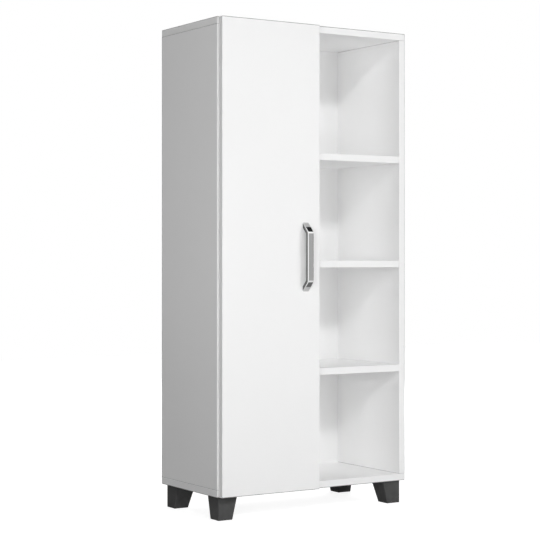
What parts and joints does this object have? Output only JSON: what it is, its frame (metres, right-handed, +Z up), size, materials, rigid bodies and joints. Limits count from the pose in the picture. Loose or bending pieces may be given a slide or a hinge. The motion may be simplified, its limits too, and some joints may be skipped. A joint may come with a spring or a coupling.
{
  "type": "broom cupboard",
  "caption": "White broom cupboard on tapered feet: a full-height overlay door on concealed hinges closes the broom bay, beside an open column of shelves.",
  "frame": {"origin": "on the floor, under the middle of the bounding box", "axes": "+Z up; the door and the open column face -Y; the door hangs on the -X side"},
  "size_m": [0.7, 0.3996, 1.508],
  "materials": {
    "white_board": "white faced board, satin",
    "back_board": "white faced fibreboard",
    "foot_plastic": "matt, dark grey",
    "handle_metal": "polished chrome plate",
    "hinge_steel": "nickel plated",
    "fastener_steel": "zinc plated",
    "dowel_wood": "bare beech",
    "cap_plastic": "white",
    "bumper_rubber": "pale, soft"
  },
  "bodies": {
    "carcass": {"arm_pins": "hinge_steel", "arm_screws": "fastener_steel", "back_nails": "fastener_steel", "back_panel": "back_board", "bay_shelf": "white_board", "bottom_panel": "white_board", "cam_bolts": "fastener_steel", "cam_caps": "cap_plastic", "cam_locks": "fastener_steel", "divider": "white_board", "dowels": "dowel_wood", "foot_front_left": "foot_plastic", "foot_front_right": "foot_plastic", "foot_rear_left": "foot_plastic", "foot_rear_right": "foot_plastic", "foot_screws": "fastener_steel", "hinge_arm_lower": "hinge_steel", "hinge_arm_middle": "hinge_steel", "hinge_arm_upper": "hinge_steel", "hinge_plate_lower": "hinge_steel", "hinge_plate_middle": "hinge_steel", "hinge_plate_upper": "hinge_steel", "left_side": "white_board", "plate_screws": "fastener_steel", "right_side": "white_board", "shelf_lower": "white_board", "shelf_middle": "white_board", "shelf_pins": "fastener_steel", "shelf_upper": "white_board", "top_panel": "white_board"},
    "outer_links": {"outer_link_lower": "hinge_steel", "outer_link_middle": "hinge_steel", "outer_link_upper": "hinge_steel"},
    "door": {"cup_pins": "hinge_steel", "cup_screws": "fastener_steel", "door_bumpers": "bumper_rubber", "door_panel": "white_board", "handle": "handle_metal", "handle_screws": "fastener_steel", "hinge_cup_lower": "hinge_steel", "hinge_cup_middle": "hinge_steel", "hinge_cup_upper": "hinge_steel"},
    "inner_links": {"inner_link_lower": "hinge_steel", "inner_link_middle": "hinge_steel", "inner_link_upper": "hinge_steel"}
  },
  "joints": [
    {"name": "outer_link_turn", "type": "hinge", "parent": "carcass", "child": "outer_links", "pos_m": [-0.3176, -0.13785, 0.79], "axis": [0, 0, -1], "range_deg": [-29.2, 0]},
    {"name": "door_swing", "type": "hinge", "parent": "outer_links", "child": "door", "pos_m": [-0.3356, -0.15415, 0.79], "axis": [0, 0, -1], "range_deg": [0, 124.13]},
    {"name": "inner_link_turn", "type": "hinge", "parent": "carcass", "child": "inner_links", "pos_m": [-0.3105, -0.15495, 0.79], "axis": [0, 0, -1], "range_deg": [-42, 0]}
  ],
  "couplings": [
    {"joint": "outer_link_turn", "follows": "door_swing", "ratio": -0.23466},
    {"joint": "inner_link_turn", "follows": "door_swing", "ratio": -0.33782}
  ]
}
